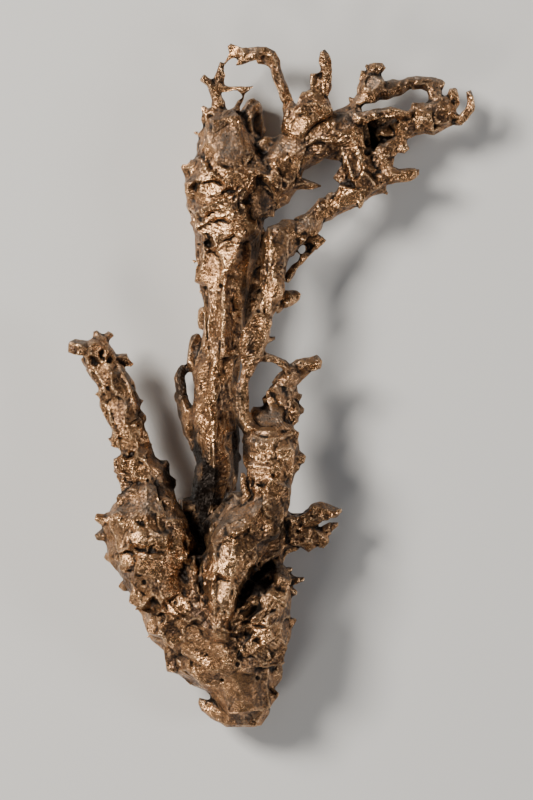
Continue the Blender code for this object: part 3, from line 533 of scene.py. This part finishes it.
def hand_faces(points):
    """Chops the surface along the large flat faces that stand out on the front."""
    moved = points.copy()
    on_face = np.zeros(len(points))
    for column, row, along, across, turn, right, up, rise in FACES:
        height = front_height(column, row)
        if height is None:
            continue
        slope = np.array([right, up, 1.0])
        middle = np.array(at(column, row, height + (rise - 1.5) * STEP))
        reach = oval(column, row, 1.3 * along, 1.3 * across, turn) + 0.25 * wander
        inside = (reach < 1) & (facing > 0.05) & (np.abs(points[:, 2] - middle[2]) < 24 * STEP)
        gap = (middle - moved[inside]) @ slope
        fade = np.clip(2.2 * (1 - reach[inside]), 0, 1)
        change = np.clip(gap, -9 * STEP * fade, 3 * STEP * fade)
        moved[inside, 2] += change
        on_face[inside] = np.maximum(on_face[inside], fade * (np.abs(gap - change) < STEP / 2))
    return moved, on_face


def crystal_faces(points, count, jump, flatness):
    """Moves the points on to a mosaic of about `count` flat faces whose corners stand in and out."""
    mosaic = thinned(mesh_from("body", points, triangles), count / len(triangles))
    corners, faces = as_arrays(mosaic)
    corners += point_normals(corners, faces) * (jump * rng.normal(size=len(corners)))[:, None]
    tree = BVHTree.FromPolygons([Vector(p) for p in corners], faces.tolist())
    found = [tree.find_nearest(p) for p in points]
    target = np.array([f[0] for f in found])
    change = target - points
    length = np.linalg.norm(change, axis=1) + 1e-9
    pull = flatness * (1 - 0.8 * quiet) * rough_enough * np.minimum(1, LONGEST_PULL / length)
    return points + pull[:, None] * change, np.array([f[2] for f in found])


def crest_lift():
    lift = np.zeros(len(points))
    for line, half_width, height in CRESTS:
        nearest = np.full(len(points), 1e9)
        for (c0, r0), (c1, r1) in zip(line, line[1:]):
            run, fall = c1 - c0, r1 - r0
            along = np.clip(((columns - c0) * run + (rows - r0) * fall) / (run**2 + fall**2), 0, 1)
            nearest = np.minimum(nearest, np.hypot(columns - c0 - along * run, rows - r0 - along * fall))
        lift = np.maximum(lift, height * np.clip(1 - nearest / half_width, 0, 1))
    return lift * np.clip(facing * 2.5 - 0.2, 0, 1)


def hole_drop():
    drop = np.zeros(len(points))
    for column, row, radius, depth in HOLES:
        reach = oval(column, row, radius, radius)
        drop = np.maximum(drop, depth * np.clip(1 - reach - 0.5 * wander, 0, 0.6))
    return drop * np.clip(facing * 3 - 0.3, 0, 1)


def layer_lift():
    lift = np.zeros(len(points))
    for column, row, along, across, turn, spacing, strength in LAYERS:
        inside = np.clip(2.2 - 2.2 * oval(column, row, along, across), 0, 1)
        c, s = math.cos(math.radians(turn)), math.sin(math.radians(turn))
        wave = (columns * c - rows * s) / spacing + 0.25 * coarse
        saw = wave - np.floor(wave)
        lift += strength * inside * (np.where(saw < 0.65, saw / 0.65, (1 - saw) / 0.35) - 0.5) * 1.3
    return lift * np.clip(facing * 2.5, 0, 1)


wander = np.array([noise.noise(Vector(p) * 240) * 2 for p in points])
coarse = np.array([noise.noise(Vector(p) * 90 + Vector((3, 1, 7))) for p in points])
points, on_face = hand_faces(points)
large, large_dish, large_count = dishes(LARGE_DISH, 1.7, 1.3, 0.12)
middle = dishes(MIDDLE_DISH, 1.5, 1.2, 0.12)[0]
small = dishes(SMALL_DISH, 1.4, 1.0, 0.12)[0]
calm = quiet.copy()
quiet = np.maximum(quiet, 0.9 * on_face)
thin = np.linalg.norm(points - spread(points, 20), axis=1) / THIN_LIMB
rough_enough = np.clip(1.0 + 1.5 * coarse, 0.5, 1.0) * np.clip(1.6 - thin, 0.15, 1)
rough_patch = np.clip(0.7 + 2.5 * coarse, 0.25, 1.5) * (1 - 0.9 * quiet)
lift = large * LARGE_RELIEF * (1 - 0.95 * quiet) + middle * MIDDLE_RELIEF * rough_patch - DISH_SINK
points += plain_normals * lift[:, None]
points, face_number = crystal_faces(points, LARGE_FACES, LARGE_JUMP, 0.9)
lift = STEP * (0.6 * crest_lift() + layer_lift() - hole_drop()) + small * SMALL_RELIEF * rough_patch
points += plain_normals * lift[:, None]
points, small_face_number = crystal_faces(points, SMALL_FACES, SMALL_JUMP, 0.7)

banding = rng.normal(size=(large_count, 3))
banding /= np.linalg.norm(banding, axis=1, keepdims=True)
stripe = (points * banding[large_dish]).sum(1) / STRIPE + 0.3 * coarse
banded = rng.uniform(-0.6, 1.0, large_count)[large_dish].clip(0, 1)

low, high = (np.array(corner) for corner in cad_bounds)
points = np.clip(points, low + INSET, high - INSET)

# ---------------------------------------------------------------- what the colours follow

final_normals = point_normals(points, triangles)
fine_rise = ((points - spread(points, 3)) * final_normals).sum(1) / STEP
middle_rise = ((points - spread(points, 12)) * final_normals).sum(1) / STEP
broad_rise = ((points - spread(points, 30)) * final_normals).sum(1) / STEP


def openness():
    """How much of the sky each part of the surface sees."""
    tree = BVHTree.FromPolygons([Vector(p) for p in points], triangles.tolist())
    some = rng.choice(len(points), SKY_SAMPLES, replace=False)
    rays = []
    turn = (1 + 5**0.5) / 2
    for k in range(SKY_RAYS):
        z = 1 - (k + 0.5) / SKY_RAYS * 0.9
        angle = 2 * math.pi * k / turn
        flat = math.sqrt(1 - z * z)
        rays.append(Vector((flat * math.cos(angle), flat * math.sin(angle), z)))
    seen = np.empty(len(some))
    for k, index in enumerate(some):
        normal = Vector(final_normals[index])
        turned = normal.to_track_quat("Z", "Y").to_matrix()
        start = Vector(points[index]) + normal * SKY_START
        clear = sum(tree.ray_cast(start, turned @ ray, SKY_REACH)[0] is None for ray in rays)
        seen[k] = clear / len(rays)
    close = KDTree(len(some))
    for k, index in enumerate(some):
        close.insert(points[index], k)
    close.balance()
    full = np.array([seen[close.find(p)[1]] for p in points])
    return spread(full, 8)


sky = openness()
# Ridges: polished wear and a painted highlight.
edge = np.clip(fine_rise * 2.6, 0, 1)
# Painted shade with dark oxide: darker in creases, in recesses and where little of the sky is seen.
hollow = np.clip(-fine_rise * 1.6, 0, 0.4) + np.clip(-middle_rise * 0.8 - 0.1, 0, 0.55)
hollow += np.clip(-broad_rise * 0.3 - 0.05, 0, 1) + np.clip(0.66 - sky, 0, 1) * 1.7
for column, row, along, across, turn, amount in SHADE_AND_OXIDE_PLACES:
    inside = np.clip(2 - 2 * oval(column, row, along, across, turn) - 0.8 * wander, 0, 1)
    hollow = np.maximum(hollow, amount * inside * np.clip(facing * 3 + 0.6, 0, 1))
hollow = np.clip(hollow, 0, 1)
# Bright copper in the listed places: partly bare metal, partly painted light.
bare_and_lit = np.zeros(len(points))
for column, row, along, across, amount in BARE_AND_LIT_PLACES:
    reach = oval(column, row, along, across)
    bare_and_lit = np.maximum(bare_and_lit, amount * np.clip(1.6 - 1.6 * reach - 0.4 * wander, 0, 1))
# Grey tarnish in the listed patches, and painted shade on the sides that face up the specimen.
tarnish_and_shade = np.clip(np.maximum(plain_normals[:, 1] * 2.2 - 0.5, grey_patch), 0, 1)
cell_tone = rng.uniform(0, 0.5, face_number.max() + 1)[face_number]
cell_tone += rng.uniform(0, 0.5, small_face_number.max() + 1)[small_face_number]
ATTRIBUTES = {
    "edge": edge,
    "hollow": hollow,
    "tarnish_and_shade": tarnish_and_shade * (1 - 0.7 * bare_and_lit),
    "bare_and_lit": bare_and_lit,
    "quiet": quiet,
    "calm": calm,
    "cell_tone": cell_tone,
    "stripe": stripe,
    "banded": banded * (1 - quiet),
}

# ---------------------------------------------------------------- the pieces


def branch_of_each_triangle():
    """The CAD node that each triangle belongs to, by the nearest point of the CAD surface."""
    marks, owners = [], []
    for number, name in enumerate(NODES):
        corners, faces = as_arrays(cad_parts[name].data)
        a, b, c = (corners[faces[:, k]] for k in range(3))
        area = np.linalg.norm(np.cross(b - a, c - a), axis=1) / 2
        for u, v in PLACES_ON_TRIANGLE:
            keep = (area > SMALL_AREA) | (u == 1 / 3)
            marks.append((a + u * (b - a) + v * (c - a))[keep])
            owners.append(np.full(keep.sum(), number))
    marks, owners = np.concatenate(marks), np.concatenate(owners)
    tree = KDTree(len(marks))
    for k, mark in enumerate(marks):
        tree.insert(mark, k)
    tree.balance()
    owner = np.array([owners[tree.find(p)[1]] for p in points])
    votes = np.stack([spread((owner == k).astype(float), 6) for k in range(len(NODES))])
    owner = votes.argmax(0)
    return owner[triangles].min(1)


def copper_material():
    """Bare copper with brown patina in patches, polish and painted highlights on the ridges, painted shade
    and dark oxide in the recesses, grey tarnish and painted shade on the up-facing sides, and a grain of
    small tilted facets.
    """
    material = bpy.data.materials.new("native_copper")
    material.use_nodes = True
    nodes, links = material.node_tree.nodes, material.node_tree.links
    shader = nodes["Principled BSDF"]

    def put(socket, value):
        if isinstance(value, (int, float, tuple)):
            socket.default_value = value
        else:
            links.new(value, socket)

    def attribute(name):
        node = nodes.new("ShaderNodeAttribute")
        node.attribute_name = name
        return node.outputs["Fac"]

    def calc(kind, a, b=0.5, clamp=False):
        node = nodes.new("ShaderNodeMath")
        node.operation = kind
        node.use_clamp = clamp
        put(node.inputs[0], a)
        put(node.inputs[1], b)
        return node.outputs[0]

    def vector(kind, a, b):
        node = nodes.new("ShaderNodeVectorMath")
        node.operation = kind
        put(node.inputs[0], a)
        put(node.inputs[1], b)
        return node.outputs["Value" if kind == "DOT_PRODUCT" else "Vector"]

    def mix(factor, first, second):
        node = nodes.new("ShaderNodeMix")
        node.data_type = "RGBA"
        put(node.inputs[0], factor)
        put(node.inputs[6], first)
        put(node.inputs[7], second)
        return node.outputs[2]

    where = nodes.new("ShaderNodeTexCoord").outputs["Object"]

    def grain(period, detail=3.0, rough=0.6):
        node = nodes.new("ShaderNodeTexNoise")
        put(node.inputs["Scale"], 1 / period)
        put(node.inputs["Detail"], detail)
        put(node.inputs["Roughness"], rough)
        put(node.inputs["Vector"], where)
        return node.outputs["Fac"]

    def crystals(size):
        node = nodes.new("ShaderNodeTexVoronoi")
        put(node.inputs["Scale"], 1 / size)
        put(node.inputs["Vector"], where)
        return node

    def facets(size):
        """Height of a mosaic in which every crystal has a flat face with a tilt of its own."""
        node = crystals(size)
        lean = vector("SUBTRACT", node.outputs["Color"], (0.5, 0.5, 0.5))
        return vector("DOT_PRODUCT", lean, vector("SUBTRACT", where, node.outputs["Position"]))

    edge, hollow, quiet, calm = (attribute(name) for name in ("edge", "hollow", "quiet", "calm"))
    tarnish_and_shade, tone, bare_and_lit = attribute("tarnish_and_shade"), attribute("cell_tone"), attribute("bare_and_lit")
    blotch = grain(0.006, 4.0, 0.6)
    speck = grain(0.0006, 2.0)
    band = calc("PINGPONG", attribute("stripe"), 0.5)
    band = calc("MULTIPLY", calc("SUBTRACT", band, 0.25), attribute("banded"))

    patina = calc("MULTIPLY", calc("SUBTRACT", blotch, 0.5), 3.0)
    patina = calc("ADD", patina, calc("MULTIPLY", tone, 0.7))
    patina = calc("ADD", patina, calc("MULTIPLY", calc("SUBTRACT", speck, 0.5), 2.5))
    patina = calc("ADD", patina, calc("MULTIPLY", calc("SUBTRACT", 0.25, bare_and_lit), 0.6))
    patina = calc("SUBTRACT", patina, calc("MULTIPLY", edge, 0.5), clamp=True)
    cloud = calc("ADD", calc("MULTIPLY", calc("ADD", blotch, speck), 2.0), -1.1)
    grey = calc("MULTIPLY", tarnish_and_shade, cloud, clamp=True)
    pore = calc("SUBTRACT", 0.00028, calc("MULTIPLY", crystals(0.0013).outputs["Distance"], 0.0013))
    pore = calc("MULTIPLY", pore, 6000.0, clamp=True)
    pore = calc("MULTIPLY", pore, calc("MULTIPLY", calc("SUBTRACT", blotch, 0.42), 7.0, clamp=True))
    dark = calc("ADD", hollow, pore, clamp=True)

    color = mix(patina, BARE_COPPER, BROWN_PATINA)
    # Polished wear and a painted highlight on the ridges and on the bright listed places.
    polish_and_highlight = calc("ADD", calc("MULTIPLY", edge, 0.55), calc("MULTIPLY", bare_and_lit, 0.12))
    color = mix(polish_and_highlight, color, POLISH_AND_HIGHLIGHT_COPPER)
    # Grey tarnish in patches, and painted shade on the sides that face up the specimen.
    color = mix(calc("MULTIPLY", grey, 0.8), color, GREY_TARNISH_AND_SHADE)
    # Dark oxide and painted shade in the recesses, and dark pores.
    color = mix(dark, color, BLACK_OXIDE_AND_SHADE)
    put(shader.inputs["Base Color"], color)

    metallic = calc("SUBTRACT", 0.96, calc("MULTIPLY", grey, 0.5), clamp=True)
    metallic = calc("SUBTRACT", metallic, calc("MULTIPLY", dark, 0.25), clamp=True)
    put(shader.inputs["Metallic"], metallic)
    rough = calc("ADD", 0.24, calc("MULTIPLY", patina, 0.12))
    rough = calc("ADD", rough, calc("MULTIPLY", grey, 0.15))
    rough = calc("ADD", rough, calc("MULTIPLY", dark, 0.12), clamp=True)
    put(shader.inputs["Roughness"], rough)

    relief = calc("ADD", calc("MULTIPLY", facets(0.0013), 0.5), calc("MULTIPLY", facets(0.0006), 0.5))
    smoothing = calc("ADD", calc("MULTIPLY", quiet, 0.45), calc("MULTIPLY", calm, 0.4))
    relief = calc("MULTIPLY", relief, calc("SUBTRACT", 1.0, smoothing))
    relief = calc("ADD", relief, calc("MULTIPLY", grain(0.0007, 3.0, 0.7), 0.00018))
    relief = calc("ADD", relief, calc("MULTIPLY", band, 0.00035))
    relief = calc("SUBTRACT", relief, calc("MULTIPLY", pore, 0.0002))
    bump = nodes.new("ShaderNodeBump")
    put(bump.inputs["Strength"], 1.0)
    put(bump.inputs["Distance"], 1.0)
    put(bump.inputs["Height"], relief)
    put(shader.inputs["Normal"], bump.outputs["Normal"])
    return material


copper = copper_material()
owner = branch_of_each_triangle()
for number, name in enumerate(NODES):
    chosen = triangles[owner == number]
    used, index = np.unique(chosen, return_inverse=True)
    mesh = mesh_from(name + "_surface", points[used], index.reshape(-1, 3).astype(np.int32))
    for label, values in ATTRIBUTES.items():
        layer = mesh.attributes.new(label, "FLOAT", "POINT")
        layer.data.foreach_set("value", values[used].astype(np.float32))
    if len(chosen) > PIECE_LIMIT:
        mesh = thinned(mesh, PIECE_LIMIT / len(chosen))
    mesh.materials.append(copper)
    mesh.shade_smooth()
    mesh.set_sharp_from_angle(angle=math.radians(SHARP_ANGLE))
    piece = bpy.data.objects.new(name + "_surface", mesh)
    bpy.context.scene.collection.objects.link(piece)
    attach(piece, "root")
    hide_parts(name)
    print(name, len(chosen))

# ---------------------------------------------------------------- floor, light and camera

floor_mesh = bpy.data.meshes.new("floor")
floor_bm = bmesh.new()
bmesh.ops.create_grid(floor_bm, x_segments=1, y_segments=1, size=3.0)
floor_bm.to_mesh(floor_mesh)
floor_bm.free()
floor_obj = bpy.data.objects.new("floor", floor_mesh)
floor_material = bpy.data.materials.new("pale_floor")
floor_material.use_nodes = True
floor_material.node_tree.nodes["Principled BSDF"].inputs["Base Color"].default_value = (0.70, 0.71, 0.72, 1)
floor_material.node_tree.nodes["Principled BSDF"].inputs["Roughness"].default_value = 0.9
floor_mesh.materials.append(floor_material)
bpy.context.scene.collection.objects.link(floor_obj)


def softbox(name, place, width, height, power, color=(1.0, 1.0, 1.0), aim=(0.0, 0.0, 0.01)):
    light = bpy.data.lights.new(name, "AREA")
    light.color = color
    light.shape = "RECTANGLE"
    light.size = width
    light.size_y = height
    light.energy = power
    lamp = bpy.data.objects.new(name, light)
    lamp.location = place
    lamp.rotation_euler = (Vector(aim) - Vector(place)).to_track_quat("-Z", "Y").to_euler()
    bpy.context.scene.collection.objects.link(lamp)


softbox("key", (-0.75, 0.45, 0.85), 0.36, 0.36, 23, (1.0, 0.93, 0.83))
softbox("overhead", (-0.45, 0.15, 2.8), 1.4, 1.4, 2.0)
softbox("low", (-0.5, -0.8, 0.7), 0.3, 0.3, 4, (1.0, 0.93, 0.84))
softbox("fill", (0.9, -0.2, 0.55), 0.3, 0.3, 2.6)
world = bpy.data.worlds.new("studio")
world.use_nodes = True
world.node_tree.nodes["Background"].inputs["Color"].default_value = (0.95, 0.97, 1.0, 1)
world.node_tree.nodes["Background"].inputs["Strength"].default_value = 0.045
bpy.context.scene.world = world

PHOTO_WIDTH, PHOTO_HEIGHT = 533, 800
AIM_HEIGHT = 0.015
CAMERA_RISE = 2.5
camera_data = bpy.data.cameras.new("camera")
camera_data.sensor_fit = "VERTICAL"
camera_data.sensor_height = 36.0
camera_data.lens = 36.0 * CAMERA_RISE / (PHOTO_HEIGHT * STEP)
camera_data.clip_end = 20
camera = bpy.data.objects.new("camera", camera_data)
camera.location = at(PHOTO_WIDTH / 2, PHOTO_HEIGHT / 2, AIM_HEIGHT + CAMERA_RISE)
bpy.context.scene.collection.objects.link(camera)
bpy.context.scene.camera = camera

bpy.context.view_layer.update()
